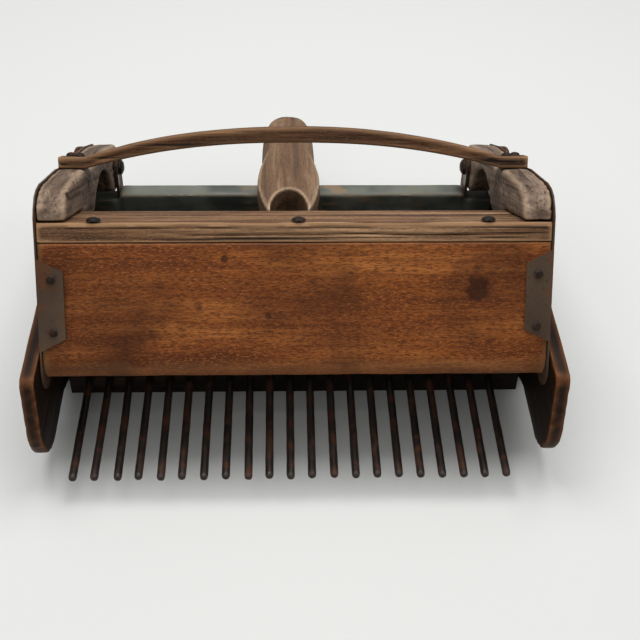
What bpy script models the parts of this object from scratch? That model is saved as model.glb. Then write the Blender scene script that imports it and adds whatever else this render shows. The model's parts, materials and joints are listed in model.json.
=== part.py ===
"""Antique wooden berry scoop with a hinged snap jaw.

Frame: two side boards, a bottom board, a back board with a carved handle, and a drilled bar of
steel tines. Jaw: a front board, a top rail and two arms that turn on rivets at the back of the
side boards, with tin cheeks and a bentwood bail across the arms.

+X is to the right seen from the front, the tines point to -Y, and Z = 0 is the table.
"""

import math

import bmesh
import bpy
from mathutils import Matrix, Vector

MM = 0.001
GAP = 0.3                       # clearance between touching pieces, mm
WELD = 0.00001                  # metres
HEAD_LIP = 0.1                  # thickness of the rim under a domed head

# Driving dimensions, mm
OVERALL_WIDTH = 209.0
SIDE_THICK = 5.7
SIDE_TOP = 55.0                 # level top edge of the side boards
NOSE_Y = -46.5                  # front of the side boards' rounded noses
NOSE_BOTTOM = 8.0
NOSE_ROUND = 20.0
REAR_Y = 124.0

CHEEK_THICK = 0.6
CHEEK_GAP = 0.4
ARM_THICK = 11.0
TAB_LIFT = 3.0                  # the right cheek's folded tab sits this much higher
TAB_REACH = 10.2
TAB_TOP = -13.6
TAB_BOTTOM = -49.8
TAB_SLANT = 5.1
TAIL_RADIUS = 12.0              # round rear end of the arms, about the pivot

TINE_COUNT = 21
TINE_PITCH = 8.6
TINE_SHIFT = -2.4               # the comb sits a little to the left
TINE_RADIUS = 1.65
TINE_Z = 11.0
TINE_TIP_Y = -53.0
BAR_FRONT_Y = 4.0
BAR_DEPTH = 31.0
BAR_TOP = 20.0
BAR_BOTTOM = 1.5
TINE_REAR_Y = BAR_FRONT_Y + 22.0
BORE_CLEARANCE = 0.15

FLOOR_THICK = 7.0
BACK_Y = 110.0
BACK_THICK = 9.0
BACK_TOP = 30.4
BACK_STEP = 27.0                # the back board is full width below this height
EAR_FOOT = 16.0                 # bottom of the slots that the ears stand in

PIVOT_Y = 117.0
PIVOT_Z = 41.8
RIVET_RADIUS = 2.2
RIVET_HEAD = 4.2
RIVET_CROWN = 2.4
EAR_THICK = 1.4
EAR_HALF = 6.0

RAIL_FRONT_Z = 98.0             # the rail's top front edge lies at Y = 0
JAW_TILT = math.radians(30.4)   # the rail's top falls away to the back
RAIL_DEPTH = 39.8
RAIL_THICK = 7.6
BOARD_HEIGHT = 54.0
BOARD_THICK = 12.0
BOARD_ROUND = 9.0

BAIL_U = 46.0                   # the bail's front edge, along the arms
BAIL_WIDTH = 11.5
BAIL_THICK = 4.7
BAIL_SWELL = 1.7                # extra thickness in the middle
BAIL_RISE = 10.5
BAIL_BEND = 2.3                 # exponent of the bail's bow
ARM_SEAT = 16.2                 # height of the arms' flat seats under the bail

HANDLE_FRONT_Y = 77.0
HANDLE_REAR_Y = 164.0
HANDLE_X = -2.2                 # the handle sits a little to the left, like the comb
HANDLE_BASE = BACK_TOP + GAP
HANDLE_DOME = 0.84              # share of the length where the domed head begins
FORK_HALF = 8.8                 # half width and depth of the fish mouth in its front end
FORK_DEPTH = 16.0
DOWEL_SPREAD = 6.0              # the handle stands on two dowels in the back board's top edge
DOWEL_RADIUS = 2.5
DOWEL_LENGTH = 18.0
DOWEL_SINK = 10.0               # depth of a dowel in the back board

SIDE_OUT = OVERALL_WIDTH / 2
SIDE_IN = SIDE_OUT - SIDE_THICK
CHEEK_OUT = SIDE_IN - CHEEK_GAP
CHEEK_IN = CHEEK_OUT - CHEEK_THICK
ARM_OUT = CHEEK_IN - GAP
ARM_IN = ARM_OUT - ARM_THICK
BAIL_SPAN = ARM_IN - 0.6        # the bail is flat on the arms outside this
TAB_FACE = -2 * GAP - CHEEK_THICK
EAR_OUT = ARM_IN - GAP
EAR_IN = EAR_OUT - EAR_THICK

COLOURS = {                     # base colour, metallic, roughness
    "board_wood": ((0.17, 0.052, 0.015), 0.0, 0.45),
    "rail_wood": ((0.22, 0.10, 0.045), 0.0, 0.7),
    "arm_wood": ((0.16, 0.12, 0.09), 0.0, 0.8),
    "dark_wood": ((0.035, 0.016, 0.008), 0.0, 0.6),
    "handle_wood": ((0.20, 0.12, 0.075), 0.0, 0.6),
    "green_paint": ((0.055, 0.06, 0.045), 0.0, 0.6),
    "tin": ((0.09, 0.05, 0.03), 0.8, 0.6),
    "dark_iron": ((0.02, 0.013, 0.01), 0.85, 0.5),
    "spring_steel": ((0.25, 0.25, 0.26), 1.0, 0.35),
}


def clear_scene():
    for obj in list(bpy.data.objects):
        bpy.data.objects.remove(obj, do_unlink=True)


def make_collection(name, hidden=False):
    collection = bpy.data.collections.new(name)
    bpy.context.scene.collection.children.link(collection)
    collection.hide_render = hidden
    return collection


def make_material(name):
    colour, metallic, roughness = COLOURS[name]
    material = bpy.data.materials.get(name) or bpy.data.materials.new(name)
    material.use_nodes = True
    shader = material.node_tree.nodes["Principled BSDF"]
    shader.inputs["Base Color"].default_value = (*colour, 1.0)
    shader.inputs["Metallic"].default_value = metallic
    shader.inputs["Roughness"].default_value = roughness
    return material


clear_scene()
PARTS = make_collection("berry_scoop")
CUTTERS = make_collection("cutters", hidden=True)

# The world origin lies under the middle of the whole scoop, on the table.
SCOOP_ORIGIN = bpy.data.objects.new("scoop_origin", None)
SCOOP_ORIGIN.location = (0, -(TINE_TIP_Y + HANDLE_REAR_Y) / 2 * MM, 0)
PARTS.objects.link(SCOOP_ORIGIN)

# The jaw hangs on an empty at its joint's axis.
JAW_PIVOT = bpy.data.objects.new("jaw_pivot", None)
JAW_PIVOT.parent = SCOOP_ORIGIN
JAW_PIVOT.location = (0, PIVOT_Y * MM, PIVOT_Z * MM)
PARTS.objects.link(JAW_PIVOT)

# Outline plane of the frame: x runs to the back, y up, and the thickness lies along world X.
FRAME_PLANE = Matrix(((0, 0, 1), (1, 0, 0), (0, 1, 0))).to_4x4()
# Outline plane of the jaw: u runs back along the rail's top, w square to it, from its front edge.
JAW_PLANE = Matrix.Translation((0, 0, RAIL_FRONT_Z * MM)) @ Matrix((
    (0, 0, 1),
    (math.cos(JAW_TILT), math.sin(JAW_TILT), 0),
    (-math.sin(JAW_TILT), math.cos(JAW_TILT), 0),
)).to_4x4()
# Outline planes of plates that lie across the scoop, upright in its frame or square to the jaw.
FRAME_ACROSS = Matrix(((1, 0, 0), (0, 0, -1), (0, 1, 0))).to_4x4()
JAW_ACROSS = Matrix(((0, 0, -1), (0, 1, 0), (1, 0, 0))).to_4x4()
FLAT = Matrix.Identity(4)


def jaw_point(x, u, w):
    return JAW_PLANE @ Vector((u * MM, w * MM, x * MM))


def hang(obj, body):
    """Parents an object, whose mesh is in the scoop's own frame, to its body."""
    obj.parent = SCOOP_ORIGIN
    if body == "jaw":
        obj.parent = JAW_PIVOT
        obj.matrix_parent_inverse = Matrix.Translation(JAW_PIVOT.location).inverted()


def add_part(name, mesh, material, body="frame", smooth_angle=None):
    obj = bpy.data.objects.new(name, mesh)
    mesh.materials.clear()
    mesh.materials.append(make_material(material))
    PARTS.objects.link(obj)
    if smooth_angle:
        mesh.shade_smooth()
        mesh.set_sharp_from_angle(angle=math.radians(smooth_angle))
    hang(obj, body)
    return obj


def add_tool(name, mesh, target, operation):
    """A hidden solid that cuts its target, or is joined to it, and moves with it."""
    tool = bpy.data.objects.new(name, mesh)
    tool.hide_render = True
    tool.display_type = "WIRE"
    CUTTERS.objects.link(tool)
    tool.parent = target.parent
    tool.matrix_parent_inverse = target.matrix_parent_inverse
    modifier = target.modifiers.new(name, "BOOLEAN")
    modifier.operation = operation
    modifier.solver = "EXACT"
    modifier.object = tool


def apply_matrix(mesh, matrix):
    mesh.transform(matrix)
    mesh.update()
    return mesh


def mesh_of_curve(curve):
    """A curve as a closed mesh with its seams welded."""
    holder = bpy.data.objects.new(curve.name, curve)
    CUTTERS.objects.link(holder)
    depsgraph = bpy.context.evaluated_depsgraph_get()
    mesh = bpy.data.meshes.new_from_object(holder.evaluated_get(depsgraph))
    bpy.data.objects.remove(holder)
    shape = bmesh.new()
    shape.from_mesh(mesh)
    bmesh.ops.remove_doubles(shape, verts=shape.verts, dist=WELD)
    bmesh.ops.recalc_face_normals(shape, faces=shape.faces)
    shape.to_mesh(mesh)
    shape.free()
    return mesh


def plate_mesh(name, outline, x_low, x_high, plane):
    """A flat outline, in mm, as a solid plate between two X values."""
    curve = bpy.data.curves.new(name, "CURVE")
    curve.dimensions = "2D"
    curve.fill_mode = "BOTH"
    curve.extrude = (x_high - x_low) / 2 * MM
    spline = curve.splines.new("POLY")
    spline.points.add(len(outline) - 1)
    for point, (x, y) in zip(spline.points, outline):
        point.co = (x * MM, y * MM, 0, 1)
    spline.use_cyclic_u = True
    middle = (x_low + x_high) / 2 * MM
    return apply_matrix(mesh_of_curve(curve), Matrix.Translation((middle, 0, 0)) @ plane)


def arc(centre, radius, start, end, steps=6):
    """Points of an arc, in degrees, both ends included."""
    points = []
    for i in range(steps + 1):
        angle = math.radians(start + (end - start) * i / steps)
        points.append((centre[0] + radius * math.cos(angle), centre[1] + radius * math.sin(angle)))
    return points


def turned_mesh(name, profile, centre, axis, steps=12):
    """A turned solid: (radius, height) pairs in mm, from the axis round to the axis again."""
    shape = bmesh.new()
    points = [shape.verts.new((radius * MM, 0, height * MM)) for radius, height in profile]
    edges = [shape.edges.new(pair) for pair in zip(points, points[1:])]
    bmesh.ops.spin(shape, geom=points + edges, cent=(0, 0, 0), axis=(0, 0, 1),
                   angle=math.tau, steps=steps, use_merge=True)
    bmesh.ops.remove_doubles(shape, verts=shape.verts, dist=WELD)
    bmesh.ops.recalc_face_normals(shape, faces=shape.faces)
    mesh = bpy.data.meshes.new(name)
    shape.to_mesh(mesh)
    shape.free()
    turn = Vector(axis).to_track_quat("Z", "Y").to_matrix().to_4x4()
    return apply_matrix(mesh, Matrix.Translation(centre) @ turn)


def dome(radius, height, steps=3):
    """Profile of a domed head, from its top on the axis down to its rim at height zero."""
    return [(radius * math.sin(math.pi / 2 * i / steps), height * math.cos(math.pi / 2 * i / steps))
            for i in range(steps + 1)]


def nail_profile(head, height, shank, depth):
    stem = [(head, -HEAD_LIP), (shank, -HEAD_LIP), (shank, -depth), (0, -depth)]
    return dome(head, height) + stem


def drill(target, centre, axis, radius, depth, steps=12):
    """Bores a hole along an axis, from just outside the face at centre down to a depth."""
    lead = 2.0
    mesh = turned_mesh("drill", [(0, lead), (radius, lead), (radius, -depth), (0, -depth)],
                       centre, axis, steps)
    add_tool(target.name + "_drill", mesh, target, "DIFFERENCE")


def add_nail(name, centre, axis, body, targets, head=2.4, height=1.3, shank=0.9, depth=7.0):
    """A domed nail with its head on a face, and clearance holes in the pieces it goes through."""
    axis = Vector(axis).normalized()
    seat = Vector(centre) + axis * GAP * MM
    mesh = turned_mesh(name, nail_profile(head, height, shank, depth), seat, axis, steps=10)
    add_part(name, mesh, "dark_iron", body, smooth_angle=40)
    for target in targets:
        drill(target, centre, axis, shank + GAP, depth + 0.5, steps=8)


def side_outline():
    """Side board: a nose rounded below, a level top, and a heel that stands on the table."""
    nose_low = arc((NOSE_Y + NOSE_ROUND, NOSE_BOTTOM + NOSE_ROUND), NOSE_ROUND, 270, 170, 9)
    nose_top = arc((NOSE_Y + 7.5, SIDE_TOP - 3), 3, 165, 90, 3)
    back = arc((REAR_Y - 12, SIDE_TOP - 12), 12, 90, 0, 5)
    heel = arc((REAR_Y - 8, GAP + 8), 8, 0, -90, 4)
    return nose_low + nose_top + back + heel + [(18, GAP), (0, NOSE_BOTTOM)]


def add_side_boards():
    boards = []
    for side, sign in (("left", -1), ("right", 1)):
        low, high = sorted((sign * SIDE_IN, sign * SIDE_OUT))
        mesh = plate_mesh("side_board", side_outline(), low, high, FRAME_PLANE)
        board = add_part("side_board_" + side, mesh, "dark_wood")
        drill(board, (sign * SIDE_OUT * MM, PIVOT_Y * MM, PIVOT_Z * MM), (sign, 0, 0),
              RIVET_RADIUS + GAP, SIDE_THICK + 2)
        boards.append(board)
    return boards


def add_box(name, low, high, material, body="frame"):
    shape = bmesh.new()
    bmesh.ops.create_cube(shape, size=1)
    size = [(b - a) * MM for a, b in zip(low, high)]
    centre = [(a + b) / 2 * MM for a, b in zip(low, high)]
    bmesh.ops.scale(shape, vec=size, verts=shape.verts)
    bmesh.ops.translate(shape, vec=centre, verts=shape.verts)
    mesh = bpy.data.meshes.new(name)
    shape.to_mesh(mesh)
    shape.free()
    return add_part(name, mesh, material, body)


def add_tines():
    # The bar leaves a slot at each end for the cheek to come down in.
    bar = add_box("tine_bar", (-ARM_OUT, BAR_FRONT_Y, BAR_BOTTOM),
                  (ARM_OUT, BAR_FRONT_Y + BAR_DEPTH, BAR_TOP), "dark_wood")
    length = TINE_REAR_Y - TINE_TIP_Y
    tip = [(0, length), (0.55 * TINE_RADIUS, length), (TINE_RADIUS, length - 1.2)]
    profile = tip + [(TINE_RADIUS, 0), (0, 0)]
    for i in range(TINE_COUNT):
        x = (i - (TINE_COUNT - 1) / 2) * TINE_PITCH + TINE_SHIFT
        rear = (x * MM, TINE_REAR_Y * MM, TINE_Z * MM)
        mesh = turned_mesh("tine", profile, rear, (0, -1, 0), 10)
        add_part(f"tine_{i + 1:02d}", mesh, "dark_iron", smooth_angle=40)
        drill(bar, (x * MM, BAR_FRONT_Y * MM, TINE_Z * MM), (0, -1, 0),
              TINE_RADIUS + BORE_CLEARANCE, TINE_REAR_Y - BAR_FRONT_Y + BORE_CLEARANCE, 10)
    return bar


def add_back_and_floor():
    inner = SIDE_IN - GAP
    upper = EAR_IN - GAP
    add_box("bottom_board", (-inner, BAR_FRONT_Y + BAR_DEPTH + GAP, 0),
            (inner, BACK_Y + BACK_THICK, FLOOR_THICK), "dark_wood")
    base = FLOOR_THICK + GAP
    slot = EAR_OUT + GAP
    right = [(inner, base), (inner, BACK_STEP), (slot, BACK_STEP), (slot, EAR_FOOT),
             (upper, EAR_FOOT), (upper, BACK_TOP)]
    outline = right + [(-x, z) for x, z in reversed(right)]
    mesh = plate_mesh("back_board", outline, -BACK_THICK / 2, BACK_THICK / 2, FRAME_ACROSS)
    apply_matrix(mesh, Matrix.Translation((0, (BACK_Y + BACK_THICK / 2) * MM, 0)))
    return add_part("back_board", mesh, "green_paint")


def add_ears_and_rivets(side_boards, arms, cheeks):
    """Ears stand in the back board's slots; each rivet joins side board, cheek, arm and ear."""
    base = EAR_FOOT + GAP
    outline = [(PIVOT_Y - EAR_HALF, base), (PIVOT_Y + EAR_HALF, base)]
    outline += arc((PIVOT_Y, PIVOT_Z + 2), EAR_HALF, 0, 180, 8)
    head = dome(RIVET_HEAD, RIVET_CROWN)
    for index, (side, sign) in enumerate((("left", -1), ("right", 1))):
        low, high = sorted((sign * EAR_IN, sign * EAR_OUT))
        mesh = plate_mesh("ear", outline, low, high, FRAME_PLANE)
        ear = add_part("pivot_ear_" + side, mesh, "tin")
        span = SIDE_OUT - EAR_IN + 2 * GAP
        profile = head + [(RIVET_HEAD, -HEAD_LIP), (RIVET_RADIUS, -HEAD_LIP)]
        profile += [(RIVET_RADIUS, HEAD_LIP - span), (RIVET_HEAD, HEAD_LIP - span)]
        profile += [(r, -span - h) for r, h in reversed(head)]
        seat = (sign * (SIDE_OUT + GAP) * MM, PIVOT_Y * MM, PIVOT_Z * MM)
        mesh = turned_mesh("rivet", profile, seat, (sign, 0, 0), 12)
        add_part("pivot_rivet_" + side, mesh, "dark_iron", smooth_angle=40)
        for piece in (ear, arms[index], cheeks[index]):
            drill(piece, (sign * CHEEK_OUT * MM, PIVOT_Y * MM, PIVOT_Z * MM), (sign, 0, 0),
                  RIVET_RADIUS + GAP, CHEEK_OUT - EAR_IN + 2)
        add_return_spring(side, sign, arms[index])


def add_return_spring(side, sign, arm):
    """A torsion coil round the rivet, in a pocket in the arm's outer face."""
    wire, mean_radius, turns, per_turn = 0.6, 4.6, 3.25, 14
    pitch = 2 * wire + 0.15
    pocket = turns * pitch + 2 * wire + 0.6
    curve = bpy.data.curves.new("spring", "CURVE")
    curve.dimensions = "3D"
    curve.bevel_depth = wire * MM
    curve.bevel_resolution = 1
    curve.use_fill_caps = True
    spline = curve.splines.new("POLY")
    count = int(turns * per_turn)
    spline.points.add(count)
    for i, point in enumerate(spline.points):
        angle = math.tau * i / per_turn
        x = sign * (ARM_OUT - wire - 0.3 - pitch * i / per_turn)
        point.co = (x * MM, (PIVOT_Y + mean_radius * math.cos(angle)) * MM,
                    (PIVOT_Z + mean_radius * math.sin(angle)) * MM, 1)
    add_part("return_spring_" + side, mesh_of_curve(curve), "spring_steel", smooth_angle=50)
    drill(arm, (sign * ARM_OUT * MM, PIVOT_Y * MM, PIVOT_Z * MM), (sign, 0, 0),
          mean_radius + wire + 0.5, pocket, 16)


def arm_outline():
    """Thick arm in the jaw's plane: bulged shoulder, rising back, and an arched underside."""
    shoulder = [(1.0, GAP), (0.6, 5.0), (3.0, 9.0), (7.0, 11.6), (13.0, 13.2), (20.0, 13.8)]
    top = [(BAIL_U - 3, ARM_SEAT), (BAIL_U + 15, ARM_SEAT), (74.0, 17.8), (92.0, 19.8),
           (112.0, 21.4)]
    tail = arc(pivot_in_jaw(), TAIL_RADIUS, 62, -96, 10)
    arch = [(122.0, 1.0), (113.0, 8.2), (103.0, 11.4), (92.0, 11.8), (82.0, 9.2), (74.0, 3.8)]
    foot = [(71.0, -1.5), (64.0, -4.0), (46.0, -4.0), (RAIL_DEPTH + GAP, -3.0),
            (RAIL_DEPTH + GAP, GAP)]
    return shoulder + top + tail + arch + foot


def pivot_in_jaw():
    point = JAW_PLANE.inverted() @ Vector((0, PIVOT_Y * MM, PIVOT_Z * MM))
    return point.x / MM, point.y / MM


def cheek_outline():
    """Tin cheek: the arm's edge in front and above, a straight hem, and a free rounded corner."""
    rim = 0.3                   # the cheek stands this much above the arm
    upper = [(TAB_FACE, 2.0), (0.0, 5.4), (2.6, 9.4), (6.8, 11.9), (12.9, 13.5), (20.0, 14.1),
             (BAIL_U - 3, ARM_SEAT + 0.2), (BAIL_U + 15, ARM_SEAT + 0.2), (74.0, 18.1),
             (92.0, 20.1), (112.0, 21.7)]
    tail = arc(pivot_in_jaw(), TAIL_RADIUS + rim, 62, -96, 10)
    corner = arc((7.5, -57.5), 7.5 - TAB_FACE, -62, -180, 7)
    return upper + tail + corner


def add_cheeks():
    """Each cheek is a sheet with a tab folded over the front board."""
    cheeks = []
    for side, sign in (("left", -1), ("right", 1)):
        low, high = sorted((sign * CHEEK_IN, sign * CHEEK_OUT))
        mesh = plate_mesh("cheek", cheek_outline(), low, high, JAW_PLANE)
        cheek = add_part("cheek_plate_" + side, mesh, "tin", "jaw")
        inner = sign * (CHEEK_OUT - TAB_REACH)
        edge = sign * (CHEEK_OUT - CHEEK_THICK / 3)
        lift = TAB_LIFT if side == "right" else 0.0
        tab = [(edge, TAB_TOP + lift), (inner, TAB_TOP - TAB_SLANT + lift),
               (inner, TAB_BOTTOM + TAB_SLANT + lift), (edge, TAB_BOTTOM + lift)]
        mesh = plate_mesh("tab", tab, -CHEEK_THICK / 2, CHEEK_THICK / 2, FLAT)
        place = Matrix.Translation(((TAB_FACE + CHEEK_THICK / 2) * MM, 0, 0))
        apply_matrix(mesh, JAW_PLANE @ place @ JAW_ACROSS)
        add_tool(cheek.name + "_tab", mesh, cheek, "UNION")
        cheeks.append(cheek)
    return cheeks


def add_jaw_wood():
    top = -RAIL_THICK - GAP
    bottom = -RAIL_THICK - BOARD_HEIGHT
    outline = [(BOARD_THICK, top), (0, top)]
    outline += arc((BOARD_ROUND, bottom + BOARD_ROUND), BOARD_ROUND, 180, 262, 6)
    outline += [(BOARD_THICK, bottom + 0.4)]
    mesh = plate_mesh("front_board", outline, -ARM_OUT, ARM_OUT, JAW_PLANE)
    board = add_part("front_board", mesh, "board_wood", "jaw", smooth_angle=30)
    rail_outline = [(0, 0), (0, -RAIL_THICK), (RAIL_DEPTH, -RAIL_THICK), (RAIL_DEPTH, 0)]
    mesh = plate_mesh("top_rail", rail_outline, -ARM_OUT, ARM_OUT, JAW_PLANE)
    rail = add_part("top_rail", mesh, "rail_wood", "jaw")
    arms = []
    for side, sign in (("left", -1), ("right", 1)):
        low, high = sorted((sign * ARM_IN, sign * ARM_OUT))
        mesh = plate_mesh("arm", arm_outline(), low, high, JAW_PLANE)
        arms.append(add_part("jaw_arm_" + side, mesh, "arm_wood", "jaw"))
    return board, rail, arms


def bail_height(x):
    """Height of the bail's underside above its seats on the arms."""
    return BAIL_RISE * (1 - min(1, abs(x) / BAIL_SPAN) ** BAIL_BEND)


def bail_thickness(x):
    return BAIL_THICK + BAIL_SWELL * bail_height(x) / BAIL_RISE


def add_bail():
    """Bentwood strip: a bowed outline across the jaw, extruded along the arms."""
    seat = ARM_SEAT + GAP
    steps = 24
    xs = [-ARM_OUT] + [BAIL_SPAN * (2 * i / steps - 1) for i in range(steps + 1)] + [ARM_OUT]
    lower = [(x, seat + bail_height(x)) for x in xs]
    upper = [(x, seat + bail_height(x) + bail_thickness(x)) for x in reversed(xs)]
    mesh = plate_mesh("bail", lower + upper, -BAIL_WIDTH / 2, BAIL_WIDTH / 2, FLAT)
    place = Matrix.Translation(((BAIL_U + BAIL_WIDTH / 2) * MM, 0, 0))
    apply_matrix(mesh, JAW_PLANE @ place @ JAW_ACROSS)
    return add_part("bail", mesh, "rail_wood", "jaw"), seat


def add_jaw_nails(board, rail, arms, cheeks, bail, seat):
    up = jaw_point(0, 0, 1) - jaw_point(0, 0, 0)
    front = jaw_point(0, -1, 0) - jaw_point(0, 0, 0)
    for name, x in (("left", -76.5), ("middle", 1.0), ("right", 73.5)):
        add_nail("rail_nail_" + name, jaw_point(x, 2.6, 0), up, "jaw", (rail, board),
                 head=3.0, height=1.6, depth=18)
    for index, (side, sign) in enumerate((("left", -1), ("right", 1))):
        for place, x, u in (("outer", 93.2, BAIL_U + 7.5), ("inner", 89.0, BAIL_U + 4.0)):
            height = seat + bail_height(x) + bail_thickness(x)
            seat_point = jaw_point(sign * x, u, height)
            add_nail(f"bail_nail_{side}_{place}", seat_point, up, "jaw", (bail, arms[index]),
                     head=2.3, height=1.4, depth=10)
        for place, w in (("upper", -21.5), ("lower", -42.0)):
            w += TAB_LIFT / 2 if side == "right" else 0.0
            seat_point = jaw_point(sign * (CHEEK_OUT - 5.6), TAB_FACE, w)
            add_nail(f"corner_tack_{side}_{place}", seat_point, front, "jaw",
                     (cheeks[index], board), head=1.9, height=0.9, shank=0.7)


def add_frame_nails(side_boards, bar, back):
    for index, (side, sign) in enumerate((("left", -1), ("right", 1))):
        board = side_boards[index]
        for place, y, z, target in (
            ("front", BAR_FRONT_Y + BAR_DEPTH - 2.5, 6.0, bar),
            ("rear", BACK_Y + BACK_THICK / 2, 12.0, back),
        ):
            seat_point = (sign * SIDE_OUT * MM, y * MM, z * MM)
            add_nail(f"side_nail_{side}_{place}", seat_point, (sign, 0, 0), "frame",
                     (board, target), height=1.2, depth=14)


def handle_section(t):
    """Half widths of the body and of its top facet, and the height, at a share of the length."""
    swell = 9.6 + 5.6 * math.sin(math.pi * min(1.0, t / 0.62)) ** 0.75
    body = max(swell, 13.2 - 20.0 * (t - 0.6) ** 2) if t > 0.45 else swell
    facet = swell - 0.5 - 2.6 * max(0.0, t - 0.25) / 0.75
    height = 15.5 - 1.8 * math.sin(math.pi * t) ** 2
    return body, facet, height


def handle_ring(t):
    """One cross-section: a flat base, full sides, and a slightly crowned top facet."""
    body, facet, height = handle_section(t)
    end = math.sqrt(max(0.0, 1 - (max(0.0, t - HANDLE_DOME) / (1.012 - HANDLE_DOME)) ** 2))
    right = [(0.75 * body, 0.0), (0.94 * body, 0.10), (body, 0.32), (0.98 * body, 0.60)]
    right += [((body + facet) / 2, 0.86), (facet, 0.97), (0.5 * facet, 1.03)]
    points = right + [(0.0, 1.05)] + [(-x, z) for x, z in reversed(right)]
    lift = 0.42 * (1 - end)
    return [(x * end, height * (lift + (z - lift) * max(end, 0.12))) for x, z in points]


def add_handle(back):
    """A carved grip: lofted sections from a forked front end back to a domed head."""
    stations = 26
    length = HANDLE_REAR_Y - HANDLE_FRONT_Y
    shape = bmesh.new()
    rings = []
    for i in range(stations + 1):
        t = 1 - (1 - i / stations) ** 1.4
        y = (HANDLE_FRONT_Y + length * t) * MM
        rings.append([shape.verts.new(((HANDLE_X + x) * MM, y, (HANDLE_BASE + z) * MM))
                      for x, z in handle_ring(t)])
    around = len(rings[0])
    for near, far in zip(rings, rings[1:]):
        for j in range(around):
            k = (j + 1) % around
            shape.faces.new((near[j], near[k], far[k], far[j]))
    shape.faces.new(rings[0][::-1])
    shape.faces.new(rings[-1])
    bmesh.ops.recalc_face_normals(shape, faces=shape.faces)
    mesh = bpy.data.meshes.new("handle")
    shape.to_mesh(mesh)
    shape.free()
    handle = add_part("handle", mesh, "handle_wood", smooth_angle=40)
    # The fish mouth: an upright elliptical bore whose front half breaks out of the end.
    mouth = turned_mesh("mouth", [(0, 22), (FORK_HALF, 22), (FORK_HALF, -2), (0, -2)],
                        (0, 0, HANDLE_BASE * MM), (0, 0, 1), 28)
    stretch = Matrix.Diagonal((1, FORK_DEPTH / FORK_HALF, 1, 1))
    apply_matrix(mouth, Matrix.Translation((HANDLE_X * MM, HANDLE_FRONT_Y * MM, 0)) @ stretch)
    add_tool("handle_mouth", mouth, handle, "DIFFERENCE")
    for side, sign in (("left", -1), ("right", 1)):
        x = (HANDLE_X + sign * DOWEL_SPREAD) * MM
        y = (BACK_Y + BACK_THICK / 2) * MM
        foot = (x, y, (BACK_TOP - DOWEL_SINK) * MM)
        profile = [(0, DOWEL_LENGTH), (DOWEL_RADIUS - 0.5, DOWEL_LENGTH),
                   (DOWEL_RADIUS, DOWEL_LENGTH - 0.6), (DOWEL_RADIUS, 0), (0, 0)]
        mesh = turned_mesh("dowel", profile, foot, (0, 0, 1))
        add_part("handle_dowel_" + side, mesh, "dark_wood", smooth_angle=40)
        drill(back, (x, y, BACK_TOP * MM), (0, 0, 1), DOWEL_RADIUS + GAP, DOWEL_SINK + 0.4)
        drill(handle, (x, y, HANDLE_BASE * MM), (0, 0, -1), DOWEL_RADIUS + GAP,
              DOWEL_LENGTH - DOWEL_SINK + 0.2)


def build():
    side_boards = add_side_boards()
    bar = add_tines()
    back = add_back_and_floor()
    board, rail, arms = add_jaw_wood()
    cheeks = add_cheeks()
    add_ears_and_rivets(side_boards, arms, cheeks)
    bail, seat = add_bail()
    add_jaw_nails(board, rail, arms, cheeks, bail, seat)
    add_frame_nails(side_boards, bar, back)
    add_handle(back)


build()
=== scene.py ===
"""Looks of an antique wooden berry scoop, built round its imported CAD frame."""

import json
import math

import bmesh
import bpy
from mathutils import Matrix, Vector, noise

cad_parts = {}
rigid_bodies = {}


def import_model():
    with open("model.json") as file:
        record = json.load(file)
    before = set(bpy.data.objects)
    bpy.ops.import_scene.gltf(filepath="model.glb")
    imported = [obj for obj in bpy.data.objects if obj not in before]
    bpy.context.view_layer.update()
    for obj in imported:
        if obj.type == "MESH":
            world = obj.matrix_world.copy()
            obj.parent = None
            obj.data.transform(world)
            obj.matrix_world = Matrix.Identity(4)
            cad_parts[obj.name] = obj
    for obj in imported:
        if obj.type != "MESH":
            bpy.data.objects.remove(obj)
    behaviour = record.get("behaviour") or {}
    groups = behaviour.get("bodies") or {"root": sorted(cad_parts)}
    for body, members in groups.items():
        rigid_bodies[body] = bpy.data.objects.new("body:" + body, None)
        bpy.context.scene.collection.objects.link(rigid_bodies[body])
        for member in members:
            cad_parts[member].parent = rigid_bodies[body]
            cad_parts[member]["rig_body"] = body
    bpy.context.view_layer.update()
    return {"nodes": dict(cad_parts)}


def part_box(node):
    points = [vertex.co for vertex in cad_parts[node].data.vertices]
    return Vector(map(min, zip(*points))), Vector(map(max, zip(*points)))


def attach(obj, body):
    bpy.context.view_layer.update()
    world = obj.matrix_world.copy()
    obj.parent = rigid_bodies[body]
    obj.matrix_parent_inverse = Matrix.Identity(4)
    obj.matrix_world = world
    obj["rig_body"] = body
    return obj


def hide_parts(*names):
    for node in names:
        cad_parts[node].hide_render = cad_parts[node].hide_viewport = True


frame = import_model()

MM = 0.001
NODES = frame["nodes"]
SIDES = ("left", "right")

# The jaw's long pieces, mm: u runs back along the rail's top, w square to it, from its front edge.
JAW_TILT = math.radians(30.4)
RAIL_THICK = 7.6
RAIL_DEPTH = 39.8
BOARD_TOP = -RAIL_THICK - 0.3
BOARD_BOTTOM = -RAIL_THICK - 54.0
BOARD_THICK = 12.0
BAIL_HALF = 97.5
BAIL_SPAN = 85.9                # half length of the bowed stretch, between the flat ends
BAIL_RISE = 10.5
BAIL_BEND = 2.3                 # exponent of the bow
BAIL_SWELL = 1.7                # extra thickness in the middle
BAIL_FRONT = 46.0
BAIL_SEAT = 16.5
BAIL_WIDTH = 11.5
BAIL_THICK = 4.7

CAMERA_PLACE = (-0.0048, -0.3855, 0.3527)
CAMERA_ANGLES = (42.72, 2.56, 1.42)     # elevation, yaw and roll, degrees
FOCAL_PIXELS = 1100.0
FRAME_PIXELS = 640.0
SENSOR = 36.0
FLOOR_COLOUR = (0.50, 0.50, 0.482)
SKY_STRENGTH = 0.85

SHARP_ANGLE = math.radians(50)
WELD = 0.00001


# ---------------------------------------------------------------- camera, floor and light

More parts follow.
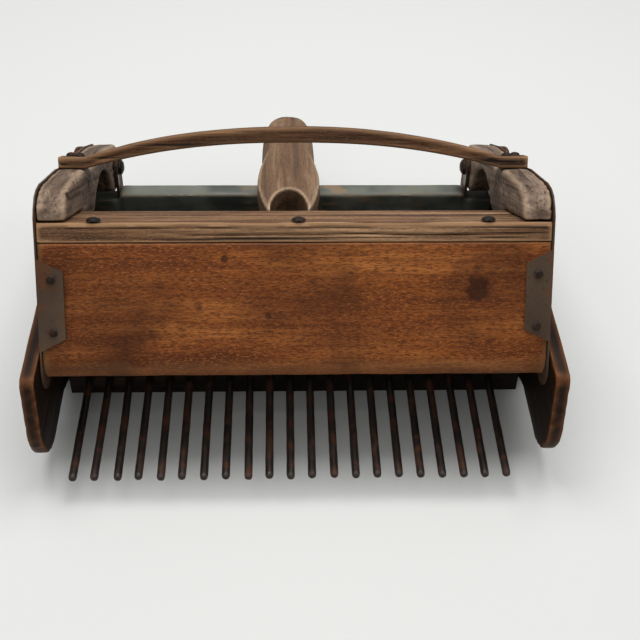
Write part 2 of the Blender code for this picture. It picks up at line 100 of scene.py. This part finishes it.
def place_camera():
    """The photographer's view: from in front and above, turned and rolled a little."""
    elevation, yaw, roll = (math.radians(angle) for angle in CAMERA_ANGLES)
    forward = Vector((math.sin(yaw) * math.cos(elevation), math.cos(yaw) * math.cos(elevation),
                      -math.sin(elevation)))
    level = Vector((math.cos(yaw), -math.sin(yaw), 0))
    upright = level.cross(forward)
    right = level * math.cos(roll) + upright * math.sin(roll)
    up = right.cross(forward)
    data = bpy.data.cameras.new("camera")
    data.sensor_width = SENSOR
    data.lens = FOCAL_PIXELS / FRAME_PIXELS * SENSOR
    data.dof.use_dof = False
    data.clip_start = 0.01
    camera = bpy.data.objects.new("camera", data)
    camera.matrix_world = Matrix.Translation(CAMERA_PLACE) @ Matrix(
        (right, up, -forward)).transposed().to_4x4()
    bpy.context.scene.collection.objects.link(camera)
    bpy.context.scene.camera = camera


def add_area_light(name, place, size, power, target=(0, 0, 0.04)):
    data = bpy.data.lights.new(name, "AREA")
    data.shape = "RECTANGLE"
    data.size, data.size_y = size
    data.energy = power
    light = bpy.data.objects.new(name, data)
    light.location = place
    light.rotation_euler = (Vector(target) - Vector(place)).to_track_quat("-Z", "Y").to_euler()
    bpy.context.scene.collection.objects.link(light)


def add_floor():
    """A pale matt table top."""
    shape = bmesh.new()
    bmesh.ops.create_grid(shape, x_segments=2, y_segments=2, size=3.0)
    mesh = bpy.data.meshes.new("floor")
    shape.to_mesh(mesh)
    shape.free()
    floor = bpy.data.objects.new("floor", mesh)
    bpy.context.scene.collection.objects.link(floor)
    paint, _ = start_material("pale_table", FLOOR_COLOUR, roughness=0.6)
    mesh.materials.append(paint)


def light_stage():
    """A soft overhead panel, weak fill from the front and one side, and a sky dark at its foot."""
    add_area_light("overhead", (-0.02, 0.20, 0.95), (0.8, 0.5), 9.5)
    add_area_light("front_fill", (-0.3, -1.0, 0.85), (0.7, 0.6), 2.0)
    add_area_light("side_fill", (0.9, -0.1, 0.75), (0.5, 0.5), 1.4)
    world = bpy.data.worlds.new("studio")
    world.use_nodes = True
    tree = world.node_tree
    background = tree.nodes["Background"]
    background.inputs["Strength"].default_value = SKY_STRENGTH
    direction = tree.nodes.new("ShaderNodeTexCoord").outputs["Generated"]
    split = tree.nodes.new("ShaderNodeSeparateXYZ")
    tree.links.new(direction, split.inputs["Vector"])
    sky = tree.nodes.new("ShaderNodeValToRGB")
    horizon, zenith = sky.color_ramp.elements
    horizon.color = (0.20, 0.20, 0.205, 1)
    zenith.position = 0.75
    zenith.color = (0.96, 0.98, 1.0, 1)
    tree.links.new(split.outputs["Z"], sky.inputs["Fac"])
    tree.links.new(sky.outputs["Color"], background.inputs["Color"])
    bpy.context.scene.world = world
    bpy.context.scene.view_settings.view_transform = "Standard"


# ---------------------------------------------------------------- materials

def start_material(name, colour, roughness=0.5, metallic=0.0):
    material = bpy.data.materials.new(name)
    material.use_nodes = True
    shader = material.node_tree.nodes["Principled BSDF"]
    shader.inputs["Base Color"].default_value = (*colour, 1)
    shader.inputs["Roughness"].default_value = roughness
    shader.inputs["Metallic"].default_value = metallic
    return material, shader


class Graph:
    """Short names for the few shader nodes that the materials use."""

    def __init__(self, material):
        self.tree = material.node_tree
        self.coordinates = self.tree.nodes.new("ShaderNodeTexCoord").outputs["Object"]

    def link(self, source, target):
        self.tree.links.new(source, target)

    def mapped(self, scale, turn=(0, 0, 0)):
        """Object coordinates in the axes that X, Y and Z are turned to, then scaled."""
        node = self.tree.nodes.new("ShaderNodeMapping")
        node.vector_type = "TEXTURE"
        node.inputs["Scale"].default_value = tuple(1 / share for share in scale)
        node.inputs["Rotation"].default_value = turn
        self.link(self.coordinates, node.inputs["Vector"])
        return node.outputs["Vector"]

    def noise(self, vector, scale, detail=5.0, distortion=0.0):
        node = self.tree.nodes.new("ShaderNodeTexNoise")
        node.inputs["Scale"].default_value = scale
        node.inputs["Detail"].default_value = detail
        node.inputs["Distortion"].default_value = distortion
        self.link(vector, node.inputs["Vector"])
        return node.outputs["Fac"]

    def ramp(self, value, *stops):
        """stops are (position, colour or grey)."""
        node = self.tree.nodes.new("ShaderNodeValToRGB")
        band = node.color_ramp
        while len(band.elements) < len(stops):
            band.elements.new(0.5)
        for element, (position, colour) in zip(band.elements, stops):
            element.position = position
            grey = isinstance(colour, (int, float))
            element.color = (colour, colour, colour, 1) if grey else (*colour, 1)
        self.link(value, node.inputs["Fac"])
        return node.outputs["Color"]

    def mix(self, factor, first, second, mode="MIX"):
        node = self.tree.nodes.new("ShaderNodeMix")
        node.data_type = "RGBA"
        node.blend_type = mode
        sockets = (node.inputs[0], node.inputs[6], node.inputs[7])
        for value, socket in zip((factor, first, second), sockets):
            if isinstance(value, (int, float)):
                socket.default_value = value
            elif isinstance(value, tuple):
                socket.default_value = (*value, 1)
            else:
                self.link(value, socket)
        return node.outputs[2]

    def edges(self, low=0.51, high=0.56):
        """Bright where the surface bends outwards, for worn edges; on the dark side boards also a
        painted highlight.
        """
        node = self.tree.nodes.new("ShaderNodeNewGeometry")
        return self.ramp(node.outputs["Pointiness"], (low, 0.0), (high, 1.0))

    def hollow_shade_mask(self, low=0.44, high=0.485):
        """Bright where the surface bends inwards, for painted shade in grooves."""
        node = self.tree.nodes.new("ShaderNodeNewGeometry")
        return self.ramp(node.outputs["Pointiness"], (low, 0.85), (high, 0.0))

    def spot(self, place, radius, strength):
        """A ragged round patch of a radius, in metres, about a place."""
        warp = self.noise(self.mapped((1, 1, 1)), 260, 4)
        node = self.tree.nodes.new("ShaderNodeVectorMath")
        node.operation = "DISTANCE"
        node.inputs[1].default_value = place
        self.link(self.coordinates, node.inputs[0])
        reach = self.tree.nodes.new("ShaderNodeMath")
        reach.operation = "MULTIPLY_ADD"
        self.link(warp, reach.inputs[0])
        reach.inputs[1].default_value = -1.6 * radius
        self.link(node.outputs["Value"], reach.inputs[2])
        scaled = self.tree.nodes.new("ShaderNodeMath")
        scaled.operation = "DIVIDE"
        self.link(reach.outputs["Value"], scaled.inputs[0])
        scaled.inputs[1].default_value = radius
        return self.ramp(scaled.outputs["Value"], (0.0, strength), (0.45, 0.0))

    def bump(self, height, shader, distance):
        node = self.tree.nodes.new("ShaderNodeBump")
        node.inputs["Distance"].default_value = distance
        node.inputs["Strength"].default_value = 1.0
        self.link(height, node.inputs["Height"])
        self.link(node.outputs["Normal"], shader.inputs["Normal"])


def dimmed(colour, share):
    return tuple(share * c for c in colour)


def wood(name, dark, middle, light, turn=(0, 0, 0), fleck=0.5, stain=0.5, worn=None,
         rough=(0.45, 0.75), grain=1.0, bump=0.00025, cracks=0.0, gloss=0.2, marks=(),
         hollow_shading=True):
    """Aged wood whose grain runs along X before it is turned.

    It has bands, flecks, stains, dark cracks, painted shade in grooves, worn edges (on the dark side
    boards also a painted highlight), and marks, which are single dark spots given as (world place,
    radius, strength): stains, and on the handle painted shade in two dents.
    """
    material, shader = start_material(name, middle)
    shader.inputs["Specular IOR Level"].default_value = gloss
    graph = Graph(material)
    long_bands = graph.noise(graph.mapped((4, 55 * grain, 55 * grain), turn), 3.0, 6, 0.4)
    fibres = graph.noise(graph.mapped((22, 420 * grain, 420 * grain), turn), 2.2, 4)
    flecks = graph.noise(graph.mapped((480, 1900, 1900), turn), 1.6, 3)
    specks = graph.noise(graph.mapped((300, 1300, 1300), turn), 1.5, 2)
    patches = graph.noise(graph.mapped((1, 1, 1)), 22, 4, 0.6)
    spots = graph.noise(graph.mapped((1, 1, 1)), 75, 3)
    colour = graph.ramp(long_bands, (0.30, dark), (0.50, middle), (0.70, light))
    colour = graph.mix(graph.ramp(fibres, (0.35, 0.55), (0.6, 0.0)), colour, dark)
    colour = graph.mix(graph.ramp(flecks, (0.54, 0.0), (0.63, fleck)), colour, light)
    colour = graph.mix(graph.ramp(specks, (0.50, 0.0), (0.62, fleck)), colour, dimmed(dark, 0.7))
    colour = graph.mix(graph.ramp(patches, (0.52, 0.0), (0.74, stain)), colour,
                       dimmed(dark, 0.42))
    colour = graph.mix(graph.ramp(spots, (0.66, 0.0), (0.72, 0.6 * stain)), colour,
                       dimmed(dark, 0.35))
    if cracks:
        lines = graph.noise(graph.mapped((3, 230, 230), turn), 2.0, 2, 0.25)
        colour = graph.mix(graph.ramp(lines, (0.36, cracks), (0.43, 0.0)), colour,
                           dimmed(dark, 0.25))
    for place, radius, strength in marks:
        colour = graph.mix(graph.spot(place, radius, strength), colour, dimmed(dark, 0.3))
    if worn:
        colour = graph.mix(graph.edges(), colour, worn)
    # Painted shade: the wood is darker where the surface bends inwards, in grooves and knocks.
    if hollow_shading:
        colour = graph.mix(graph.hollow_shade_mask(), colour, dimmed(dark, 0.3))
    graph.link(colour, shader.inputs["Base Color"])
    graph.link(graph.ramp(patches, (0.3, rough[0]), (0.7, rough[1])), shader.inputs["Roughness"])
    graph.bump(graph.mix(0.5, fibres, long_bands), shader, bump)
    return material


def green_paint():
    """Thin dark green paint with chips that show tan wood, mostly in one worn stretch."""
    material, shader = start_material("green_paint", (0.03, 0.035, 0.025))
    graph = Graph(material)
    shade = graph.noise(graph.mapped((1, 1, 1)), 60, 6)
    colour = graph.ramp(shade, (0.35, (0.036, 0.041, 0.032)), (0.65, (0.105, 0.110, 0.086)))
    chips = graph.noise(graph.mapped((0.7, 1, 2.2)), 160, 5)
    region = graph.noise(graph.mapped((1, 1, 1)), 17, 2)
    bare = graph.mix(1.0, graph.ramp(chips, (0.53, 0.0), (0.6, 1.0)),
                     graph.ramp(region, (0.55, 0.0), (0.66, 0.8)), "MULTIPLY")
    colour = graph.mix(bare, colour, (0.17, 0.105, 0.055))
    colour = graph.mix(graph.edges(0.52, 0.58), colour, (0.16, 0.11, 0.065))
    graph.link(colour, shader.inputs["Base Color"])
    graph.link(graph.ramp(shade, (0.3, 0.5), (0.7, 0.8)), shader.inputs["Roughness"])
    graph.bump(graph.mix(0.5, chips, shade), shader, 0.0003)
    return material


def iron(name, dark, rust, amount, metallic=0.55, scale=1.0, rubbed=True):
    """Old iron or tin: a dark skin with rust blooms, fine pits and, if rubbed, bright edges."""
    material, shader = start_material(name, dark, metallic=metallic)
    shader.inputs["Specular IOR Level"].default_value = 0.18
    graph = Graph(material)
    blooms = graph.noise(graph.mapped((1, 1, 1)), 90 * scale, 6, 0.5)
    pits = graph.noise(graph.mapped((1, 1, 1)), 700 * scale, 3)
    broad = graph.noise(graph.mapped((1, 1, 1)), 26 * scale, 3)
    colour = graph.ramp(broad, (0.35, dimmed(dark, 0.65)), (0.65, dimmed(dark, 1.35)))
    colour = graph.mix(graph.ramp(blooms, (0.5, 0.0), (0.66, amount)), colour, rust)
    colour = graph.mix(graph.ramp(pits, (0.62, 0.0), (0.7, 0.5)), colour, dimmed(dark, 0.3))
    if rubbed:
        colour = graph.mix(graph.edges(0.53, 0.6), colour,
                           tuple(min(1, 3.0 * c + 0.03) for c in dark))
    graph.link(colour, shader.inputs["Base Color"])
    graph.link(graph.ramp(blooms, (0.4, 0.38), (0.65, 0.8)), shader.inputs["Roughness"])
    graph.bump(graph.mix(0.4, blooms, pits), shader, 0.00018)
    return material


def board_marks():
    """Dark stains on the front board's face."""
    spots = ((70.0, -26.0, 4.5, 0.8), (69.0, -18.0, 1.6, 0.4), (-11.0, -36.0, 1.2, 0.7),
             (-27.0, -14.0, 1.3, 0.7), (12.0, -60.0, 1.6, 0.8), (-44.0, -60.0, 1.3, 0.7))
    return [(jaw_place(x, 0, w), radius * MM, strength) for x, w, radius, strength in spots]


def handle_dent_shade():
    """Two dark spots on top of the handle's rounded head, painted shade for its two dents."""
    low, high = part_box("handle")
    middle = (low.x + high.x) / 2
    return [((middle + x * MM, high.y - y * MM, high.z - 2 * MM), 1.5 * MM, 0.85)
            for x, y in ((-3.0, 9.0), (2.5, 10.0))]


def make_materials():
    quarter = math.pi / 2
    return {
        "board_wood": wood("board_wood", (0.080, 0.019, 0.004), (0.190, 0.052, 0.0095),
                           (0.33, 0.112, 0.026), fleck=0.7, stain=0.75, worn=(0.22, 0.11, 0.045),
                           rough=(0.42, 0.62), grain=0.8, gloss=0.14, marks=board_marks()),
        "rail_wood": wood("rail_wood", (0.035, 0.015, 0.007), (0.15, 0.070, 0.030),
                          (0.34, 0.20, 0.105), fleck=0.3, stain=0.3, worn=(0.30, 0.17, 0.085),
                          rough=(0.65, 0.88), grain=1.1, bump=0.0005, cracks=0.9),
        "bail_wood": wood("bail_wood", (0.022, 0.009, 0.004), (0.085, 0.036, 0.014),
                          (0.235, 0.125, 0.058), fleck=0.25, stain=0.35, worn=(0.20, 0.105, 0.048),
                          rough=(0.6, 0.85), grain=1.3, bump=0.0006, cracks=0.9),
        "arm_wood": wood("arm_wood", (0.050, 0.030, 0.020), (0.155, 0.102, 0.070),
                         (0.29, 0.205, 0.145), turn=(0, JAW_TILT, quarter), fleck=0.3, stain=0.7,
                         worn=(0.30, 0.21, 0.14), rough=(0.6, 0.88), bump=0.0005,
                         cracks=0.6),
        # Side boards: the orange worn edges are wear and also a painted highlight along their edges.
        "dark_wood": wood("dark_wood", (0.006, 0.0025, 0.0012), (0.012, 0.0055, 0.0025),
                          (0.028, 0.012, 0.005), turn=(0, 0, quarter), fleck=0.25, stain=0.5,
                          worn=(0.13, 0.048, 0.016), rough=(0.4, 0.6), gloss=0.1),
        # Near-black wood for the tine bar and bottom board, painted shade for the dark space under the
        # scoop.
        "shaded_wood": wood("shaded_wood", (0.004, 0.0025, 0.002), (0.010, 0.0055, 0.0035),
                            (0.026, 0.015, 0.009), fleck=0.3, stain=0.5, rough=(0.55, 0.8),
                            gloss=0.1, hollow_shading=False),
        "handle_wood": wood("handle_wood", (0.06, 0.032, 0.017), (0.14, 0.080, 0.044),
                            (0.235, 0.145, 0.085), turn=(0, 0, quarter), fleck=0.3, stain=0.35,
                            worn=(0.38, 0.26, 0.17), rough=(0.5, 0.72),
                            gloss=0.16, marks=handle_dent_shade()),
        "green_paint": green_paint(),
        "tin": iron("tin", (0.062, 0.038, 0.023), (0.085, 0.032, 0.012), 0.85, 0.0,
                    rubbed=False),
        "dark_iron": iron("dark_iron", (0.014, 0.009, 0.007), (0.075, 0.026, 0.011), 0.8, 0.45, 1.6),
        "spring_steel": iron("spring_steel", (0.3, 0.3, 0.31), (0.2, 0.1, 0.05), 0.3, 0.9),
    }


# ---------------------------------------------------------------- mesh work

def jitter(*values):
    """A repeatable number from -1 to 1 for a place."""
    return noise.noise(Vector(values))


def finish_piece(name, mesh, material, body, replaced):
    """Puts a mesh on its body in place of the CAD nodes it replaces."""
    mesh.materials.clear()
    mesh.materials.append(MATERIALS[material])
    mesh.shade_smooth()
    mesh.set_sharp_from_angle(angle=SHARP_ANGLE)
    piece = bpy.data.objects.new(name, mesh)
    bpy.context.scene.collection.objects.link(piece)
    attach(piece, body)
    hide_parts(*replaced)


def remeshed(node, voxel, smoothing):
    """A CAD node as an even fine mesh with softened edges."""
    holder = bpy.data.objects.new("holder", NODES[node].data.copy())
    bpy.context.scene.collection.objects.link(holder)
    weld = holder.modifiers.new("weld", "WELD")
    weld.merge_threshold = WELD
    remesh = holder.modifiers.new("remesh", "REMESH")
    remesh.mode = "VOXEL"
    remesh.voxel_size = voxel
    smooth = holder.modifiers.new("smooth", "SMOOTH")
    smooth.factor = 0.5
    smooth.iterations = smoothing
    depsgraph = bpy.context.evaluated_depsgraph_get()
    mesh = bpy.data.meshes.new_from_object(holder.evaluated_get(depsgraph))
    bpy.data.objects.remove(holder)
    return mesh


def weathered(node, voxel, material, body, depth, grain, smoothing, extra=None):
    """A remeshed wooden piece with raised grain, dents and a slightly wavy surface."""
    mesh = remeshed(node, voxel, smoothing)
    mesh.update()
    normals = [v.normal.copy() for v in mesh.vertices]
    for vertex, normal in zip(mesh.vertices, normals):
        place = vertex.co.copy()
        fine = Vector((place.x * grain[0], place.y * grain[1], place.z * grain[2]))
        push = depth * noise.fractal(fine, 0.9, 2.1, 4)
        push += 0.6 * depth * noise.noise(place * 45)
        if extra:
            push += extra(place, normal)
        vertex.co = place + normal * push
    finish_piece(node + "_aged", mesh, material, body, (node,))


def add_long_piece(name, node, material, profile, stations, ends, surface):
    """A piece of the jaw that runs along X: a closed profile swept from end to end.

    profile is a list of (u, w), and surface(x, u, w) gives the offset of each point in (u, w).
    """
    shape = bmesh.new()
    rings = []
    for i in range(stations + 1):
        x = ends[0] + (ends[1] - ends[0]) * i / stations
        ring = []
        for u, w in profile:
            du, dw = surface(x, u, w)
            ring.append(shape.verts.new(jaw_place(x, u + du, w + dw)))
        rings.append(ring)
    close_rings(shape, rings)
    mesh = bpy.data.meshes.new(name)
    shape.to_mesh(mesh)
    shape.free()
    finish_piece(name, mesh, material, "jaw", (node,))


def close_rings(shape, rings):
    for near, far in zip(rings, rings[1:]):
        for j in range(len(near)):
            k = (j + 1) % len(near)
            shape.faces.new((near[j], near[k], far[k], far[j]))
    for ring in (rings[0], rings[-1]):
        middle = shape.verts.new(sum((v.co for v in ring), Vector()) / len(ring))
        for j in range(len(ring)):
            shape.faces.new((ring[j], ring[(j + 1) % len(ring)], middle))
    bmesh.ops.recalc_face_normals(shape, faces=shape.faces)


def rail_corner():
    """World place of the rail's top front edge, from the rail's own box."""
    low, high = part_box("top_rail")
    return Vector((0, low.y + RAIL_THICK * MM * math.sin(JAW_TILT), high.z))


def jaw_place(x, u, w):
    """World place of a point x across the jaw, u back along the rail and w square to it, mm."""
    along = Vector((0, math.cos(JAW_TILT), -math.sin(JAW_TILT)))
    square = Vector((0, math.sin(JAW_TILT), math.cos(JAW_TILT)))
    return CORNER + Vector((x * MM, 0, 0)) + along * u * MM + square * w * MM


CORNER = rail_corner()
MATERIALS = make_materials()


def rounded_box(u0, u1, w0, w1, spacing, corner_steps, radii):
    """A closed (u, w) profile of a box with rounded corners, in even steps, anticlockwise."""
    corners = ((u0, w0, 180), (u1, w0, 270), (u1, w1, 0), (u0, w1, 90))
    arcs = []
    for (u, w, start), r in zip(corners, radii):
        centre = (u + math.copysign(r, (u0 + u1) / 2 - u), w + math.copysign(r, (w0 + w1) / 2 - w))
        arcs.append([(centre[0] + r * math.cos(math.radians(start + 90 * k / corner_steps)),
                      centre[1] + r * math.sin(math.radians(start + 90 * k / corner_steps)))
                     for k in range(corner_steps + 1)])
    profile = []
    for index, points in enumerate(arcs):
        profile += points
        following = arcs[(index + 1) % 4][0]
        run = math.dist(points[-1], following)
        steps = max(1, round(run / spacing))
        profile += [tuple(a + (b - a) * k / steps for a, b in zip(points[-1], following))
                    for k in range(1, steps)]
    return profile


def add_front_board():
    """Planed board: a rounded lower front edge, faint waves, and a few knocks."""
    low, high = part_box("front_board")
    ends = (low.x / MM, high.x / MM)
    profile = rounded_box(0, BOARD_THICK, BOARD_BOTTOM, BOARD_TOP, 1.3, 6, (8.8, 0.8, 0.6, 0.9))
    # Each knock: x, w, size and height.
    knocks = ((-27.0, -14.0, 1.6, 0.5), (-11.0, -36.0, 2.2, 0.45), (72.0, -27.0, 4.0, 0.35),
              (30.0, -52.0, 3.0, 0.5), (-60.0, -55.0, 4.0, 0.5))

    def surface(x, u, w):
        front = 1.0 if u < 0.5 else 0.35
        wave = 0.10 * jitter(x * 0.02, w * 0.05, 3.1) + 0.05 * jitter(x * 0.05, w * 1.1, 7.7)
        wave += 0.05 * abs(jitter(x * 0.3, w * 2.3, 1.9))
        push = 0.12 + wave * front
        for kx, kw, size, depth in knocks:
            share = ((x - kx) / size) ** 2 + ((w - kw) / (0.6 * size)) ** 2
            push += depth * math.exp(-share) * front
        wear = 0.35 * max(0, jitter(x * 0.06, 0.5, 9.1)) if w < BOARD_BOTTOM + 1 else 0
        lift = max(0.0, 1.6 - min(x - ends[0], ends[1] - x)) * 0.25
        toward = 1 if u < 6 else -1
        return toward * (push + lift), wear

    add_long_piece("front_board_planed", "front_board", "board_wood", profile, 150, ends, surface)


def add_top_rail():
    """Weathered rail: long splits and grooves that run with the grain, and ragged edges."""
    low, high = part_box("top_rail")
    ends = (low.x / MM, high.x / MM)
    profile = rounded_box(0, RAIL_DEPTH, -RAIL_THICK, 0, 0.55, 2, (0.4, 0.8, 1.2, 1.7))
    # Each groove on the top: u, half width, depth, and the stretch of X where it is open.
    grooves = ((2.2, 0.5, 0.5, -90, 96), (9.5, 0.7, 0.9, -97, 60), (13.0, 0.5, 0.5, -20, 97),
               (18.5, 0.8, 1.0, -60, 97), (24.0, 0.5, 0.6, -97, 20), (29.0, 0.9, 1.1, -80, 90),
               (34.5, 0.6, 0.7, -30, 80))
    front_grooves = ((-2.3, 0.45, 0.6, -97, 40), (-4.8, 0.5, 0.8, -50, 97), (-6.3, 0.3, 0.4, -97, 97))

    def groove(across, x, lines):
        cut = 0.0
        for seed, (centre, half, depth, start, stop) in enumerate(lines):
            wander = 0.8 * half * jitter(x * 0.035, seed * 3.7, 0.2) * 2
            open_share = min(1, max(0, (x - start) / 12), max(0, (stop - x) / 12))
            width = half * (0.6 + 0.7 * abs(jitter(x * 0.06, seed * 1.9, 4.0)))
            cut = max(cut, depth * open_share * math.exp(-((across - centre - wander) / width) ** 2))
        return cut

    def surface(x, u, w):
        fibre = 0.16 * jitter(x * 0.03, u * 1.4, w * 1.4) + 0.10 * jitter(x * 0.1, u * 3.1, w * 3.1)
        if w > -0.45 and 0.5 < u < RAIL_DEPTH - 0.5:
            return 0.0, -0.2 - abs(fibre) - groove(u, x, grooves)
        if u < 0.45:
            return 0.2 + abs(fibre) + groove(w, x, front_grooves), 0.0
        if u > RAIL_DEPTH - 0.6:
            return -0.3 - abs(fibre) - 0.5 * max(0, jitter(x * 0.08, 5.5, 1.2)), 0.0
        return 0.0, 0.1

    add_long_piece("top_rail_weathered", "top_rail", "rail_wood", profile, 170, ends, surface)


def add_bail():
    """Bentwood strip with split edges, following the CAD strip's bow."""
    corner_radii = (0.9, 0.8, 1.2, 1.0)
    profile = rounded_box(0, BAIL_WIDTH, 0, BAIL_THICK, 0.9, 3, corner_radii)

    def surface(x, placed_u, placed_w):
        u, w = placed_u - BAIL_FRONT, placed_w - BAIL_SEAT
        bow = BAIL_RISE * (1 - min(1, abs(x) / BAIL_SPAN) ** BAIL_BEND)
        near_end = max(0.0, abs(x) - BAIL_HALF + 4) / 4
        narrow = (0.8 * jitter(x * 0.02, 2.2, 0.4) - 1.2 * near_end) * (u / BAIL_WIDTH - 0.5)
        fibre = 0.14 * jitter(x * 0.05, u * 1.6, w * 1.8) + 0.07 * jitter(x * 0.16, u * 4, w * 4)
        split = 0.5 * math.exp(-((w - 1.7 - 0.5 * jitter(x * 0.03, 8.8, 1.0)) / 0.35) ** 2)
        inward = (split if u < 0.3 else 0) + abs(fibre)
        du = inward if u < BAIL_WIDTH / 2 else -abs(fibre)
        dw = -abs(fibre) if w > BAIL_THICK / 2 else 0.06
        swell = BAIL_SWELL * bow / BAIL_RISE + 0.5 * jitter(x * 0.018, 6.1, 3.3)
        return du + narrow, dw + bow + swell * (w / BAIL_THICK)

    placed = [(BAIL_FRONT + u, BAIL_SEAT + w) for u, w in profile]
    add_long_piece("bail_bentwood", "bail", "bail_wood", placed, 150, (-BAIL_HALF, BAIL_HALF), surface)


def add_aged_wood():
    """Arms, side boards, back board and handle, remeshed and weathered."""
    def pits(place, normal):
        hole = noise.noise(place * 420)
        return -0.00055 * max(0.0, hole - 0.28) * 3 * (0.4 + abs(normal.x))

    for side in SIDES:
        weathered("jaw_arm_" + side, 0.0012, "arm_wood", "jaw", 0.00022, (260, 90, 90), 4, pits)
        weathered("side_board_" + side, 0.0013, "dark_wood", "frame", 0.00014, (200, 60, 320), 4)
    weathered("back_board", 0.0014, "green_paint", "frame", 0.00018, (60, 300, 300), 3)
    weathered("handle", 0.0010, "handle_wood", "frame", 0.00016, (120, 40, 120), 3)


# ---------------------------------------------------------------- metal pieces

def turned(profile, around, place, axis, wobble=0.0, seed=0.0):
    """A turned metal piece: (radius, height) pairs in metres, with a slightly uneven outline."""
    turn = Matrix.Translation(place) @ Vector(axis).to_track_quat("Z", "Y").to_matrix().to_4x4()
    shape = bmesh.new()
    top = shape.verts.new(turn @ Vector((0, 0, profile[0][1])))
    bottom = shape.verts.new(turn @ Vector((0, 0, profile[-1][1])))
    rings = []
    for radius, height in profile[1:-1]:
        ring = []
        for j in range(around):
            angle = math.tau * j / around
            c, s = math.cos(angle), math.sin(angle)
            r = radius * (1 + wobble * jitter(1.4 * c + seed, 1.4 * s, height * 900))
            ring.append(shape.verts.new(turn @ Vector((r * c, r * s, height))))
        rings.append(ring)
    for near, far in zip(rings, rings[1:]):
        for j in range(around):
            k = (j + 1) % around
            shape.faces.new((near[j], near[k], far[k], far[j]))
    for j in range(around):
        k = (j + 1) % around
        shape.faces.new((top, rings[0][k], rings[0][j]))
        shape.faces.new((bottom, rings[-1][j], rings[-1][k]))
    bmesh.ops.recalc_face_normals(shape, faces=shape.faces)
    mesh = bpy.data.meshes.new("turned")
    shape.to_mesh(mesh)
    shape.free()
    return mesh


def add_tines():
    """Round iron rods, each a little bent and worn to a blunt tip."""
    names = sorted(n for n in NODES if n.startswith("tine_") and n != "tine_bar")
    for index, name in enumerate(names):
        low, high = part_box(name)
        radius = (high.x - low.x) / 2
        length = high.y - low.y
        place = Vector(((low.x + high.x) / 2, high.y, low.z + radius * 0.951))
        tip = 0.0006 * (1 + jitter(index * 1.7, 0.3, 0.9))
        steps = 18
        tip_profile = [(0, length - tip), (0.5 * radius, length - tip - 0.00012),
                       (0.82 * radius, length - tip - 0.0005), (0.98 * radius, length - tip - 0.0013)]
        body = [(radius, (length - tip - 0.0022) * (1 - k / steps)) for k in range(steps + 1)]
        mesh = turned(tip_profile + body + [(0, 0)], 16, place, (0, -1, 0), 0.04, index)
        for vertex in mesh.vertices:
            share = max(0.0, (place.y - vertex.co.y) / length - 0.15) ** 1.5
            vertex.co.x += 0.0011 * share * jitter(index * 2.3, 5.0, 0.1)
            vertex.co.z += 0.0006 * share * jitter(index * 3.1, 1.0, 7.1)
            vertex.co += vertex.normal * 0.00009 * noise.noise(vertex.co * 900)
        finish_piece(name + "_rod", mesh, "dark_iron", "frame", (name,))


def add_heads():
    """Hand-made nails, tacks and rivets, slightly out of round."""
    for name in sorted(NODES):
        if not ("nail" in name or "tack" in name):
            continue
        mesh = remeshed(name, 0.00032, 2)
        for vertex in mesh.vertices:
            vertex.co += vertex.normal * 0.00012 * noise.noise(vertex.co * 1500)
        finish_piece(name + "_worn", mesh, "dark_iron", NODES[name]["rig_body"], (name,))
    for side in SIDES:
        name = "pivot_rivet_" + side
        mesh = remeshed(name, 0.0004, 2)
        for vertex in mesh.vertices:
            vertex.co += vertex.normal * 0.00012 * noise.noise(vertex.co * 1100)
        finish_piece(name + "_peened", mesh, "dark_iron", "frame", (name,))


def dress_cad_nodes():
    """CAD nodes that keep their own mesh get a finish, and all but the springs get softened edges; the
    tine bar and bottom board get near-black shaded wood, painted shade for the space under the scoop.
    """
    finishes = {"cheek_plate_left": "tin", "cheek_plate_right": "tin", "pivot_ear_left": "tin",
                "pivot_ear_right": "tin", "return_spring_left": "spring_steel",
                "return_spring_right": "spring_steel", "tine_bar": "shaded_wood",
                "bottom_board": "shaded_wood", "handle_dowel_left": "dark_wood",
                "handle_dowel_right": "dark_wood"}
    for name, material in finishes.items():
        node = NODES[name]
        node.data.materials.clear()
        node.data.materials.append(MATERIALS[material])
        if "spring" not in name:
            bevel = node.modifiers.new("edges", "BEVEL")
            bevel.width = 0.00015 if material == "tin" else 0.0007
            bevel.segments = 2
            bevel.limit_method = "ANGLE"


place_camera()
add_floor()
light_stage()
add_front_board()
add_top_rail()
add_bail()
add_aged_wood()
add_tines()
add_heads()
dress_cad_nodes()
